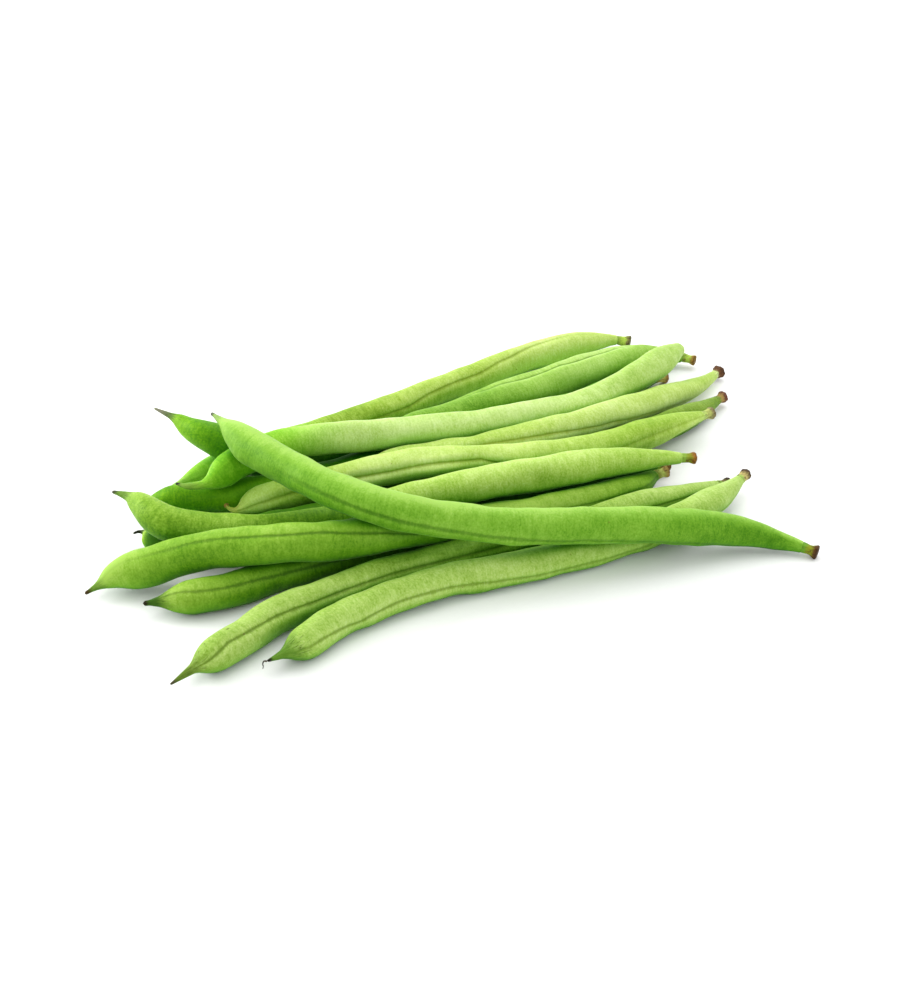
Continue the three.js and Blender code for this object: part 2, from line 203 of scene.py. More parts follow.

# How each bean looks. Places along it are shares of its length, from the tail's tip to
# the stem, unless they are in mm. Colours are as they look on screen, 0 to 255.
#   slot       a name for the kind of pod skin; stem_slot one for the kind of stub
#   tone       the pod's middle green; end_tone its middle green near the tail
#   pale       at each place, how pale the green is: -0.5 is the deepest, 1.5 the palest; this is
#               partly the pod's own tone and partly painted light and shade on lit and shaded
#               stretches
#   top        how much paler the upper side is painted than the lower one: painted light where it
#               is above 0, painted shade where below; crest how much paler a band along its top
#               is painted, a painted highlight
#   mottle     how strongly the green varies; shade how strongly the painted shade between
#               neighbours darkens it
#   seam       at each place, the angle of the near seam, in degrees from the top towards
#              the front, and how plainly it shows; valley is its depth in mm, far_lip
#              the height in mm of its far lip, and seam_size the width of its dark line
#   seeds      how far the seeds swell the pod, in mm
#   tail       the tail's colour, over tail_length mm; tip the colour of its last
#              tip_length mm; knob how far its very end swells, in mm
#   thread     a dried thread on the tip, as offsets in mm
#   marks      brown marks: mm along, degrees from the seam, size in mm
#   stem       the stub's colour, neck its colour where it leaves the pod, rim the colour
#              of its cut end, stem_size its thickness
BEANS = {
    "bean_01": dict(
        slot="pod_pale", tone=(160, 185, 85), end_tone=(130, 190, 45), mottle=1.2,
        top=-0.25, seeds=0.14, valley=0.24,
        pale=[
            (0, 1.1), (0.15, 1.0), (0.25, 0.5), (0.4, 0.0), (0.5, 0.25), (0.65, 0.6), (0.75, 0.8),
            (0.85, 1.2), (1, 1.0),
        ],
        seam=[
            (0, 66, 0.2), (0.4, 70, 0.6), (0.5, 72, 0.9), (0.55, 52, 0.9), (0.61, 46, 0.9),
            (0.67, 48, 0.9), (0.72, 32, 0.8), (0.76, 28, 0.8), (0.8, 16, 0.7), (0.85, 6, 0.5),
            (0.9, 8, 0.2), (1, 10, 0),
        ],
        tail=(150, 190, 90), tail_length=6, tip=(150, 180, 95), tip_length=1.0,
        stem_slot="stem_olive", neck=(135, 165, 60), stem=(165, 195, 70),
        rim=(110, 110, 50), stem_size=1.3,
    ),
    "bean_02": dict(
        slot="pod_deep", tone=(120, 160, 30), shade=1.6,
        seeds=0.12, valley=0.08,
        # The palest stretch at its very end is a painted highlight, and the deep green behind it is
        # painted shade, where it lies under the heap.
        pale=[(0, 1.2), (0.02, 1.6), (0.033, 1.6), (0.046, -0.6), (0.5, -0.5), (1, 0.0)],
        seam=[(0, -40, 0.6), (1, -40, 0.6)],
        tail=(25, 40, 15), tail_length=3.6, tip=(30, 25, 20), tip_length=2.0,
        stem_slot="stem_brown", stem=(155, 120, 55), rim=(120, 85, 45), stem_size=0.9,
    ),
    "bean_03": dict(
        slot="pod_deep", tone=(95, 135, 25),
        top=0.2, seeds=0.12, valley=0.14, knob=0.18,
        pale=[
            (0, 0.8), (0.05, 1.2), (0.09, 0.8), (0.14, 0.4), (0.2, 0.3), (0.4, 0.4), (0.6, 0.9),
            (0.7, 1.45), (0.8, 1.2), (0.9, 0.7), (1, 0.3),
        ],
        seam=[
            (0, 20, 0.2), (0.04, 24, 0.5), (0.09, 38, 0.6), (0.16, 44, 0.7), (0.23, 56, 0.7),
            (0.29, 58, 0.7), (1, 62, 0.5),
        ],
        tail=(40, 80, 10), tail_length=5.0, tip=(35, 25, 15), tip_length=1.0,
        stem_slot="stem_brown", neck=(130, 150, 55), stem=(180, 190, 95),
        rim=(170, 140, 75), stem_size=1.0,
    ),
    "bean_04": dict(
        slot="pod_pale", tone=(135, 165, 70), mottle=1.2,
        seeds=0.1, valley=0.26,
        # The deeper stretch around 0.7 of its length, where it passes under bean_14, is painted
        # shade.
        pale=[
            (0, 0.45), (0.15, 0.75), (0.3, 0.6), (0.45, 0.35), (0.55, 0.0), (0.7, -0.3),
            (0.78, 0.4), (0.85, 0.8), (1, 0.8),
        ],
        seam=[
            (0, 60, 0.3), (0.06, 56, 1), (0.1, 32, 1), (0.18, 46, 1), (0.26, 58, 1), (0.4, 54, 0.9),
            (0.86, 62, 0.9), (1, 52, 0.6),
        ],
        tail=(85, 110, 30), tail_length=7.5, tip=(65, 60, 40), tip_length=1.6,
        marks=[
            (17.5, -42, 0.45), (19.5, 0, 0.3), (8, -60, 0.25), (9.5, -75, 0.2), (11.5, -68, 0.2),
        ],
        stem_slot="stem_brown", stem=(110, 100, 45), rim=(55, 40, 25), stem_size=0.8,
    ),
    "bean_05": dict(
        slot="pod_pale", tone=(145, 175, 80), mottle=1.2,
        seeds=0.12, valley=0.18,
        pale=[(0, 0.3), (0.1, 0.4), (0.3, 0.6), (0.45, 0.6), (0.7, 0.6), (0.85, 0.7), (1, 0.8)],
        seam=[
            (0, 66, 0.5), (0.09, 68, 0.9), (0.18, 84, 0.9), (0.26, 72, 0.9), (0.34, 78, 0.8),
            (0.45, 90, 0.7), (0.55, 100, 0.7), (1, 105, 0.6),
        ],
        tail=(80, 120, 30), tail_length=7.0, tip=(25, 20, 15), tip_length=0.9,
        thread=[
            (0, 0, 0), (-0.5, 0, 0.05), (-0.8, -0.1, -0.1), (-0.95, -0.2, -0.7),
            (-0.85, -0.2, -1.3), (-1, -0.3, -1.8),
        ],
        marks=[(5, -30, 0.4), (6, -55, 0.3), (7, -12, 0.35)],
        stem_slot="stem_brown", stem=(180, 165, 100), rim=(70, 50, 35), stem_size=1.05,
    ),
    "bean_06": dict(
        slot="pod_deep", tone=(110, 160, 15), shade=1.5,
        top=0.5, seeds=0.12, valley=0.08,
        # The deepest green, from a third of its length to near the stem, where it lies under the
        # other beans, is painted shade.
        pale=[
            (0, 0.1), (0.06, -0.2), (0.12, 0.0), (0.18, 0.5), (0.27, 0.1), (0.34, -0.8),
            (0.94, -0.8), (1, -0.4),
        ],
        seam=[(0, -40, 0.6), (1, -40, 0.6)],
        tail=(150, 190, 95), tail_length=5, tip=(120, 150, 80), tip_length=0.5,
        stem_slot="stem_olive", neck=(140, 155, 65), stem=(200, 190, 95),
        rim=(150, 115, 60), stem_size=1.05,
    ),
    "bean_07": dict(
        slot="pod_deep", tone=(110, 140, 45),
        seeds=0.12, valley=0.08,
        pale=[(0, 0.5), (1, 0.5)],
        seam=[(0, -40, 0.6), (1, -40, 0.6)],
        tail=(95, 140, 50), tail_length=5, tip=(60, 60, 30), tip_length=1.0,
        stem_slot="stem_brown", stem=(150, 125, 65), rim=(105, 60, 45), stem_size=1.05,
    ),
    "bean_08": dict(
        slot="pod_deep", tone=(125, 165, 60), end_tone=(115, 165, 25),
        seeds=0.2, valley=0.3, far_lip=1.1,
        pale=[
            (0, 0.5), (0.05, 0.5), (0.09, 0.0), (0.15, -0.5), (0.2, -0.4), (0.4, 0.2), (0.5, 0.2),
            (0.6, 0.1), (0.7, 0.8), (0.8, 1.3), (0.88, 1.0), (1, 0.5),
        ],
        seam=[
            (0, -42, 0.3), (0.5, -42, 0.3), (0.58, -28, 0.5), (0.66, -22, 0.9), (0.8, -12, 1),
            (0.87, -26, 0.7), (1, -50, 0.2),
        ],
        tail=(70, 85, 45), tail_length=7.0, tip=(110, 110, 90), tip_length=3.6,
        stem_slot="stem_olive", neck=(130, 160, 60), stem=(160, 190, 70),
        rim=(145, 115, 45), stem_size=1.0,
    ),
    "bean_09": dict(
        slot="pod_pale", tone=(185, 205, 125), shade=0.2, mottle=1.1,
        top=-0.3, seeds=0.26, valley=0.22,
        pale=[
            (0, 0.1), (0.3, 0.0), (0.45, 0.35), (0.6, 0.65), (0.72, 0.4), (0.85, 0.2), (0.93, 0.0),
            (1, 0.0),
        ],
        seam=[
            (0, 40, 0.6), (0.31, 48, 0.9), (0.4, 60, 1), (0.45, 68, 1), (0.57, 94, 0.9),
            (1, 120, 0.6),
        ],
        tail=(130, 170, 70), tail_length=5, tip=(60, 60, 30), tip_length=1.0,
        stem_slot="stem_brown", stem=(100, 65, 30), rim=(80, 50, 25), stem_size=1.2,
    ),
    "bean_10": dict(
        slot="pod_pale", tone=(170, 195, 100), shade=0.8,
        top=-0.2, seeds=0.26, valley=0.4, knob=0.35,
        pale=[
            (0, 0.5), (0.08, 0.5), (0.14, 0.1), (0.18, -0.4), (0.24, 0.5), (0.3, 0.8), (0.4, 0.8),
            (0.48, 0.4), (0.56, 0.75), (0.65, 0.65), (0.75, 0.25), (0.85, 0.05), (1, 0.1),
        ],
        seam=[
            (0, 60, 0.6), (0.26, 60, 1), (0.33, 70, 1), (0.44, 58, 1), (0.5, 53, 1), (0.55, 80, 1),
            (0.62, 84, 0.7), (0.8, 72, 0.5), (1, 60, 0.4),
        ],
        tail=(140, 150, 55), tail_length=5.5, tip=(125, 90, 40), tip_length=1.4,
        marks=[(126.5, 48, 0.9), (125.5, 56, 0.6), (3.4, 40, 0.8)],
        stem_slot="stem_olive", stem=(170, 180, 95), rim=(130, 120, 80), stem_size=1.05,
    ),
    "bean_11": dict(
        slot="pod_pale", tone=(175, 200, 120), end_tone=(145, 195, 60), shade=0.8,
        top=-0.1, seeds=0.12, valley=0.06,
        pale=[
            (0, 0.6), (0.04, 0.6), (0.08, 0.0), (0.13, -0.4), (0.18, 0.0), (0.27, 0.5), (0.4, 0.5),
            (0.5, 0.5), (0.62, 0.65), (0.75, 0.3), (0.85, 0.15), (1, 0.35),
        ],
        seam=[(0, -46, 0.6), (1, -42, 0.6)],
        tail=(105, 140, 45), tail_length=7, tip=(25, 20, 15), tip_length=1.5,
        stem=None,
    ),
    "bean_12": dict(
        slot="pod_fresh", tone=(135, 170, 60), mottle=1.3,
        painted_highlight=0.3, seeds=0.14, valley=0.06, knob=0.06,
        pale=[
            (0, 0.5), (0.05, 0.4), (0.1, 0.0), (0.15, -0.2), (0.22, 0.1), (0.3, -0.3), (0.42, -0.2),
            (0.52, 0.6), (0.7, 0.9), (1, 0.9),
        ],
        seam=[(0, -42, 0.6), (1, -40, 0.6)],
        tail=(90, 125, 40), tail_length=5.5, tip=(60, 60, 50), tip_length=1.2,
        stem_slot="stem_brown", stem=(130, 140, 30), rim=(150, 100, 30), stem_size=1.0,
    ),
    "bean_13": dict(
        slot="pod_fresh", tone=(95, 140, 25),
        top=0.15, painted_highlight=0.5, seeds=0.1, valley=0.12, knob=0.08,
        # The palest stretch near the tail is partly its own tone and partly a painted highlight on
        # the lit end.
        pale=[
            (0, 1.2), (0.05, 1.4), (0.11, 1.1), (0.18, 0.7), (0.26, 0.5), (0.4, 0.4), (0.55, 0.45),
            (0.7, 0.6), (0.85, 0.3), (1, 0.0),
        ],
        seam=[
            (0, 20, 0), (0.12, 24, 0.15), (0.3, 28, 0.6), (0.57, 32, 0.8), (0.71, 56, 0.8),
            (0.77, 74, 0.8), (1, 90, 0.8),
        ],
        tail=(90, 125, 40), tail_length=4.5, tip=(60, 40, 20), tip_length=1.4,
        stem_slot="stem_brown", stem=(110, 100, 45), rim=(60, 45, 30), stem_size=1.0,
    ),
    "bean_14": dict(
        slot="pod_fresh", tone=(95, 145, 30),
        top=0.15, painted_highlight=0.9, seeds=0.1, valley=0.16, seam_size=1.5, knob=0.12,
        # The palest stretch near the tail is partly its own tone and partly a painted highlight on
        # the lit end.
        pale=[
            (0, 1.0), (0.04, 1.2), (0.08, 0.8), (0.14, 0.5), (0.2, 0.4), (0.3, 0.4), (0.38, 0.7),
            (0.5, 0.55), (0.75, 0.5), (0.88, 0.2), (0.96, 0.2), (1, 0.8),
        ],
        seam=[
            (0, 70, 0), (0.18, 70, 0), (0.23, 70, 0.2), (0.28, 72, 0.5), (0.33, 78, 0.7),
            (0.4, 87, 0.7), (0.48, 92, 0.6), (0.56, 102, 0.6), (0.62, 112, 0.5), (1, 135, 0.4),
        ],
        tail=(130, 160, 85), tail_length=5, tip=(65, 65, 60), tip_length=1.4,
        stem_slot="stem_brown", stem=(125, 135, 15), rim=(85, 55, 5), stem_size=1.1,
    ),
}


def srgb(red, green, blue):
    """A colour given as it looks on screen, 0 to 255, as the linear values that shaders take."""
    values = [c / 255 for c in (red, green, blue)]
    linear = [v / 12.92 if v <= 0.04045 else ((v + 0.055) / 1.055) ** 2.4 for v in values]
    return (*linear, 1.0)


def scaled(colour, factors):
    """A linear colour times a factor for each channel."""
    return (*[min(1.0, c * f) for c, f in zip(colour, factors)], 1.0)


# --- curves ---

def smooth_curve(xs, ys, at):
    """Values at `at` of a smooth curve through the points (xs, ys)."""
    slopes = np.gradient(ys, xs, axis=0)
    i = np.clip(np.searchsorted(xs, at, side="right") - 1, 0, len(xs) - 2)
    span = xs[i + 1] - xs[i]
    t = (at - xs[i]) / span
    if ys.ndim > 1:
        t, span = t[:, None], span[:, None]
    return (
        (2 * t**3 - 3 * t**2 + 1) * ys[i]
        + (t**3 - 2 * t**2 + t) * span * slopes[i]
        + (3 * t**2 - 2 * t**3) * ys[i + 1]
        + (t**3 - t**2) * span * slopes[i + 1]
    )


def monotone_curve(xs, ys, at):
    """Values at `at` of a smooth curve through (xs, ys) that never passes beyond its neighbours."""
    spans = np.diff(xs)
    slopes = np.diff(ys) / spans
    product = slopes[:-1] * slopes[1:]
    total = np.where(product > 0, slopes[:-1] + slopes[1:], 1)
    inner = np.where(product > 0, 2 * product / total, 0)
    tangents = np.concatenate([slopes[:1], inner, slopes[-1:]])
    i = np.clip(np.searchsorted(xs, at, side="right") - 1, 0, len(xs) - 2)
    t = (at - xs[i]) / spans[i]
    return (
        (2 * t**3 - 3 * t**2 + 1) * ys[i]
        + (t**3 - 2 * t**2 + t) * spans[i] * tangents[i]
        + (3 * t**2 - 2 * t**3) * ys[i + 1]
        + (t**3 - t**2) * spans[i] * tangents[i + 1]
    )


def bell(x, spread):
    """1 where x is 0, falling smoothly to nearly nothing at twice the spread."""
    return np.exp(-((x / spread) ** 2))


def unit(vectors):
    return vectors / np.linalg.norm(vectors, axis=-1, keepdims=True)


def directions_across(tangents):
    """The sideways and upward directions square to each tangent."""
    sides = unit(np.cross(tangents, (0, 0, 1)))
    return sides, np.cross(sides, unit(tangents))


# --- meshes ---

def cad_sections(solid_name, sides):
    """Centres and radii in mm of the rings of a turned and bent CAD solid, from its -X end."""
    solid = bmesh.new()
    solid.from_mesh(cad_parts[solid_name].data)
    bmesh.ops.remove_doubles(solid, verts=solid.verts, dist=1e-6)
    poles = [v for v in solid.verts if len(v.link_edges) == sides]
    layer = {min(poles, key=lambda v: v.co.x)}
    seen = set(layer)
    centres, radii = [], []
    while layer:
        points = np.array([v.co for v in layer]) / MM
        centre = points.mean(axis=0)
        centres.append(centre)
        radii.append(np.linalg.norm(points - centre, axis=1).mean())
        layer = {e.other_vert(v) for v in layer for e in v.link_edges} - seen
        seen |= layer
    solid.free()
    return np.array(centres), np.array(radii)


def around(line, side, up, reach, angle):
    """Rings of points about a line, at a distance and an angle from the top for each point."""
    return (
        line[:, None]
        + side * (reach * np.sin(angle))[..., None]
        + up * (reach * np.cos(angle))[..., None]
    )


def tube_faces(rings, columns):
    """Quads between successive rings of points, and a fan at each end, whose poles come last."""
    faces = []
    for r in range(rings - 1):
        here, ahead = r * columns, (r + 1) * columns
        for c in range(columns):
            d = (c + 1) % columns
            faces.append((here + c, here + d, ahead + d, ahead + c))
    first, last = rings * columns, rings * columns + 1
    last_ring = (rings - 1) * columns
    for c in range(columns):
        d = (c + 1) % columns
        faces.append((first, d, c))
        faces.append((last, last_ring + c, last_ring + d))
    return faces


def with_poles(rings, poles):
    """The values at all points of a tube: ring by ring, then at its two poles."""
    return np.concatenate([rings.reshape(-1, *rings.shape[2:]), poles])


def make_tube(name, rings, poles, **layers):
    """A smooth-shaded tube from points in mm, with the numbers or vectors its shader reads."""
    mesh = bpy.data.meshes.new(name)
    points = with_poles(rings, poles)
    mesh.from_pydata((points * MM).tolist(), [], tube_faces(*rings.shape[:2]))
    mesh.polygons.foreach_set("use_smooth", [True] * len(mesh.polygons))
    for key, values in layers.items():
        kind, field = ("FLOAT", "value") if values.ndim == 1 else ("FLOAT_VECTOR", "vector")
        layer = mesh.attributes.new(key, kind, "POINT")
        layer.data.foreach_set(field, values.astype(np.float32).ravel())
    mesh.update()
    piece = bpy.data.objects.new(name, mesh)
    bpy.context.scene.collection.objects.link(piece)
    return piece


# --- pods ---

def stations(length):
    """Distances along a pod at which it gets a ring: close together near both ends."""
    ends = np.arange(0, END_LENGTH, END_STEP)
    steps = round((length - 2 * END_LENGTH) / STATION_STEP)
    body = np.linspace(END_LENGTH, length - END_LENGTH, steps)
    return np.concatenate([ends, body, np.sort(length - ends)])


def seed_swelling(rng, s, length):
    """How far the seeds swell the pod's walls, as a share of the tallest seed there can be."""
    swelling = np.zeros_like(s)
    for place in np.arange(SEED_MARGIN, length - SEED_MARGIN, SEED_SPACING):
        centre = place + rng.uniform(-SEED_STRAY, SEED_STRAY)
        swelling += rng.uniform(*SEED_SIZES) * bell(s - centre, SEED_SPREAD)
    return swelling - SEED_LEVEL


def pod_relief(rng, looks, along, angle, radius, seam_shows):
    """How far the skin stands out from the turned shape, in mm, at each ring and column."""
    s = along[:, None]
    r = radius[:, None]
    length = along[-1]
    full = r / radius.max()

    # the seeds swell the two walls between the seams
    relief = looks["seeds"] * seed_swelling(rng, s, length) * np.sin(angle) ** 2

    # lumps and slow unevenness
    for waves in LUMP_TURNS:
        for wavelength, height in LUMPS:
            phase, turn = rng.uniform(0, FULL_TURN, 2)
            lump = np.sin(FULL_TURN * s / wavelength + phase) * np.cos(waves * angle + turn)
            relief += rng.uniform(*LUMP_SIZES) * height * full * lump

    # a shallow valley with swollen lips along each seam, and a fine groove in it
    from_seam = r * np.abs(np.sin(angle))
    wander = VALLEY_LEVEL
    for scale, height in VALLEY_WAVES:
        wander = wander + height * np.sin(s / scale + rng.uniform(*PHASES))
    depth = full * seam_shows[:, None]
    relief -= looks["valley"] * depth * wander * bell(from_seam, VALLEY_SPREAD)
    lip_height = LIP_SHARE * looks["valley"]
    relief += lip_height * depth * wander * bell(from_seam - LIP_PLACE, LIP_SPREAD)
    relief -= GROOVE_DEPTH * depth * bell(from_seam, GROOVE_SPREAD)
    from_far_lip = r * np.sin(angle) + FAR_LIP_PLACE
    far_lip = bell(from_far_lip, FAR_LIP_SPREAD) * (np.cos(angle) > 0)
    relief += looks.get("far_lip", 0) * depth * far_lip

    # folds where the pod narrows to its tail and to its stem
    pinch = bell(s - TAIL_FOLD_PLACE, TAIL_FOLD_SPREAD) + bell(length - s, NECK_FOLD_SPREAD)
    folds = np.cos(FOLDS_AROUND * angle + rng.uniform(*PHASES))
    relief += FOLD_DEPTH * full * pinch * folds
    return relief + SWELL * full


def end_rounding(along):
    """Shares of the radius that remain where both ends of a pod round off."""
    nose = np.clip(along / TAIL_ROUNDING, 0, 1)
    heel = np.clip((along[-1] - along) / NECK_ROUNDING, 0, 1)
    rounding = np.sqrt(1 - (1 - nose) ** 2) * np.sqrt(1 - (1 - heel) ** 2)
    return np.maximum(rounding, LEAST_ROUNDING)


def pod_line(solid_name):
    """A CAD pod's rings, made finer: mm along it, centre, directions across it and radius."""
    centres, radii = cad_sections(solid_name, CAD_POD_SIDES)
    centres, radii = centres[1:-1], radii[1:-1]
    placed = np.concatenate([[0], np.cumsum(np.linalg.norm(np.diff(centres, axis=0), axis=1))])
    along = stations(placed[-1])

    def shifted(distance):
        return np.clip(along + distance, 0, placed[-1])

    line = smooth_curve(placed, centres, along)
    ahead = smooth_curve(placed, centres, shifted(DIRECTION_SPAN))
    behind = smooth_curve(placed, centres, shifted(-DIRECTION_SPAN))
    side, up = directions_across(ahead - behind)
    spans = (-RADIUS_SPAN, 0, RADIUS_SPAN)
    radius = np.mean([monotone_curve(placed, radii, shifted(span)) for span in spans], axis=0)
    return along, line, side, up, radius


def build_pod(name, looks, seed):
    solid_name = name + "_pod"
    rng = np.random.default_rng(seed)
    along, line, side, up, radius = pod_line(solid_name)
    length = along[-1]

    # angles from the near seam, in columns that crowd towards both seams, and from the top
    shares, degrees, strengths = np.array(looks["seam"], dtype=float).T
    seam = np.radians(np.interp(along / length, shares, degrees))
    seam_shows = np.interp(along / length, shares, strengths)
    even = np.arange(POD_COLUMNS) * FULL_TURN / POD_COLUMNS
    angle = (even - SEAM_CROWDING * np.sin(2 * even))[None, :]
    turned = seam[:, None] + angle

    reach = radius[:, None] + pod_relief(rng, looks, along, angle, radius, seam_shows)
    reach += looks.get("knob", 0) * bell(along - KNOB_PLACE, KNOB_SPREAD)[:, None]
    reach = reach * end_rounding(along)[:, None]
    rings = around(line, side[:, None], up[:, None], reach, turned)
    rings[..., 2] = np.maximum(rings[..., 2], 0)

    # what the shader reads: the place on the skin, how pale it is with painted light and shade in
    # that, and how the seam shows
    full_radius = radius.max()
    everywhere = np.ones_like(reach)
    skin = np.stack(
        [
            along[:, None] * everywhere,
            full_radius * np.cos(angle) * everywhere,
            full_radius * np.sin(angle) * everywhere,
        ],
        axis=-1,
    )
    end_skin = np.array([[0, 0, full_radius], [length, 0, full_radius]])
    # Painted light and shade: top makes the upper side paler where it is above 0 and deeper where
    # it is below, and crest paints a highlight in a band just behind the top; the pale list holds
    # painted light and shade too.
    painted_highlight = np.maximum(np.cos(turned + PAINTED_HIGHLIGHT_BEHIND_TOP), 0) ** PAINTED_HIGHLIGHT_POWER
    paleness = (
        np.interp(along / length, *np.array(looks["pale"], dtype=float).T)[:, None]
        + looks.get("top", 0) * np.cos(turned)
        + looks.get("painted_highlight", 0) * painted_highlight
    )
    piece = make_tube(
        name + "_skin",
        rings,
        line[[0, -1]],
        skin=with_poles(skin, end_skin),
        paleness=with_poles(paleness, paleness[[0, -1], 0]),
        seam_shows=with_poles(seam_shows[:, None] * everywhere, seam_shows[[0, -1]]),
    )
    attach(piece, "root")
    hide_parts(solid_name)
    piece.data.materials.append(pod_material(name, looks, full_radius, seed))
    return piece


def build_thread(name, looks, seed):
    """A dried, hair-thin thread left on the tip of a tail, from points in mm from the tip."""
    centres, _ = cad_sections(name + "_pod", CAD_POD_SIDES)
    knots = centres[0] + np.array(looks["thread"])
    places = np.linspace(0, len(knots) - 1, THREAD_RINGS)
    line = smooth_curve(np.arange(len(knots), dtype=float), knots, places)
    side, up = directions_across(np.gradient(line, axis=0))
    angle = np.arange(THREAD_COLUMNS)[None, :] * FULL_TURN / THREAD_COLUMNS
    radius = np.linspace(*THREAD_RADII, len(line))[:, None]
    rings = around(line, side[:, None], up[:, None], radius, angle)
    skin = np.broadcast_to(places[:, None, None], rings.shape)
    piece = make_tube(
        name + "_thread", rings, line[[0, -1]], skin=with_poles(skin, np.zeros((2, 3)))
    )
    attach(piece, "root")
    material = stem_material(name + "_thread", THREAD_LOOKS, THREAD_RIM_LENGTH, seed)
    piece.data.materials.append(material)
    return piece


# --- stems ---

def build_stem(name, looks, seed):
    solid_name = name + "_stem"
    rng = np.random.default_rng(seed + STEM_SEED)
    centres, _ = cad_sections(solid_name, CAD_STEM_SIDES)
    start, end = centres[0], centres[-1]
    axis = end - start
    length = np.linalg.norm(axis)
    knots = np.arange(len(STEM_PROFILE), dtype=float)
    place = np.linspace(0, knots[-1], STEM_RINGS)
    share, radius = smooth_curve(knots, STEM_PROFILE, place).T
    grown = 1 + (looks["stem_size"] - 1) * np.clip(share / STEM_GROWTH_END, 0, 1)
    line = start + share[:, None] * axis
    side, up = directions_across(axis)

    angle = np.arange(STEM_COLUMNS)[None, :] * FULL_TURN / STEM_COLUMNS
    relief = 1
    for count, height in STEM_RIBS:
        relief = relief + height * np.cos(count * angle + rng.uniform(*PHASES))
    lump_turn = STEM_LUMP_TWIST * share[:, None] + rng.uniform(*PHASES)
    relief = relief + STEM_LUMP_HEIGHT * np.cos(STEM_LUMPS_AROUND * angle + lump_turn)
    reach = (radius * grown)[:, None] * relief
    rings = around(line, side, up, reach, angle)
    rings[..., 2] = np.maximum(rings[..., 2], 0)

    along = share * length
    skin = np.stack(
        [
            np.broadcast_to(along[:, None], reach.shape),
            reach * np.cos(angle),
            reach * np.sin(angle),
        ],
        axis=-1,
    )
    end_skin = np.array([[along[0], 0, 0], [along[-1], 0, 0]])
    piece = make_tube(name + "_stub", rings, line[[0, -1]], skin=with_poles(skin, end_skin))
    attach(piece, "root")
    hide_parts(solid_name)
    piece.data.materials.append(stem_material(name, looks, length, seed))
    return piece


# --- shader nodes ---

def new_tree(name):
    """A new material with an empty node tree, and that tree."""
    material = bpy.data.materials.new(name)
    material.use_nodes = True
    tree = material.node_tree
    tree.nodes.clear()
    return material, tree


def connect(tree, socket, value):
    """Gives a socket its value: another socket to link, or a number or colour to set."""
    if isinstance(value, bpy.types.NodeSocket):
        tree.links.new(value, socket)
    else:
        socket.default_value = value


def node(tree, kind, inputs=None, **settings):
    """Adds a shader node. Each input is either a socket to link or a value to set."""
    made = tree.nodes.new(kind)
    for key, value in settings.items():
        setattr(made, key, value)
    for key, value in (inputs or {}).items():
        connect(tree, made.inputs[key], value)
    return made


def calc(tree, operation, *values):
    """The result of arithmetic on sockets and numbers."""
    made = node(tree, "ShaderNodeMath", operation=operation)
    for socket, value in zip(made.inputs, values):
        connect(tree, socket, value)
    return made.outputs[0]


def ease(tree, value, low, high, at_low=0.0, at_high=1.0):
    """A smooth step: at_low where value is below low, at_high where it is above high."""
    inputs = {
        "Value": value, "From Min": low, "From Max": high, "To Min": at_low, "To Max": at_high
    }
    made = node(tree, "ShaderNodeMapRange", inputs, interpolation_type="SMOOTHSTEP")
    return made.outputs["Result"]


def mix(tree, factor, first, second, blend_type="MIX"):
    """The first colour where the factor is 0, blended with the second where it is 1."""
    made = node(tree, "ShaderNodeMix", data_type="RGBA", blend_type=blend_type)
    colour_inputs = (made.inputs[0], made.inputs[6], made.inputs[7])
    for socket, value in zip(colour_inputs, (factor, first, second)):
        connect(tree, socket, value)
    return made.outputs[2]


def read_vector(tree, name):
    return node(tree, "ShaderNodeAttribute", attribute_name=name).outputs["Vector"]


def read_number(tree, name):
    return node(tree, "ShaderNodeAttribute", attribute_name=name).outputs["Fac"]


def noise(tree, coordinates, scales, detail, roughness, offset):
    """Noise from 0 to 1 on the skin, with a scale along the bean and ones across it."""
    inputs = {"Vector": coordinates, "Scale": scales, "Location": (offset,) * 3}
    stretched = node(tree, "ShaderNodeMapping", inputs).outputs[0]
    inputs = {"Vector": stretched, "Scale": 1.0, "Detail": detail, "Roughness": roughness}
    return node(tree, "ShaderNodeTexNoise", inputs).outputs["Fac"]


def noises(tree, skin, table, offset):
    """The textures of a table such as POD_NOISES, by name."""
    return {
        key: noise(tree, skin, scales, detail, roughness, offset + shift)
        for key, (scales, detail, roughness, shift) in table.items()
    }


def colour_ramp(tree, value, colours):
    """A colour that follows a value from 0 to 1 through a pod's five greens."""
    made = node(tree, "ShaderNodeValToRGB", {"Fac": value})
    elements = made.color_ramp.elements
    for place, colour in zip(GREEN_STOPS[1:-1], colours[1:-1]):
        elements.new(place).color = colour
    elements[0].color, elements[-1].color = colours[0], colours[-1]
    return made.outputs["Color"]


def painted_crevice_shade(tree, distance, closed, opened):
    """How much shade to paint: from 0 in the open to 1 deep between neighbouring beans."""
    inputs = {"Distance": distance}
    openness = node(tree, "ShaderNodeAmbientOcclusion", inputs, samples=PAINTED_SHADE_SAMPLES)
    return ease(tree, openness.outputs["AO"], closed, opened, 1.0, 0.0)


def finish_material(tree, inputs):
    """Adds the surface shader, with its inputs by name, and the output."""
    surface = node(tree, "ShaderNodeBsdfPrincipled", inputs)
    output = node(tree, "ShaderNodeOutputMaterial")
    tree.links.new(surface.outputs[0], output.inputs["Surface"])


# --- the pod's material ---

def greens_of(middle):
    """A pod's five greens, from deepest to palest, made from its middle one."""
    linear = srgb(*middle)[:3]
    return [(*[c**power for c in linear], 1.0) for power in GREEN_POWERS]


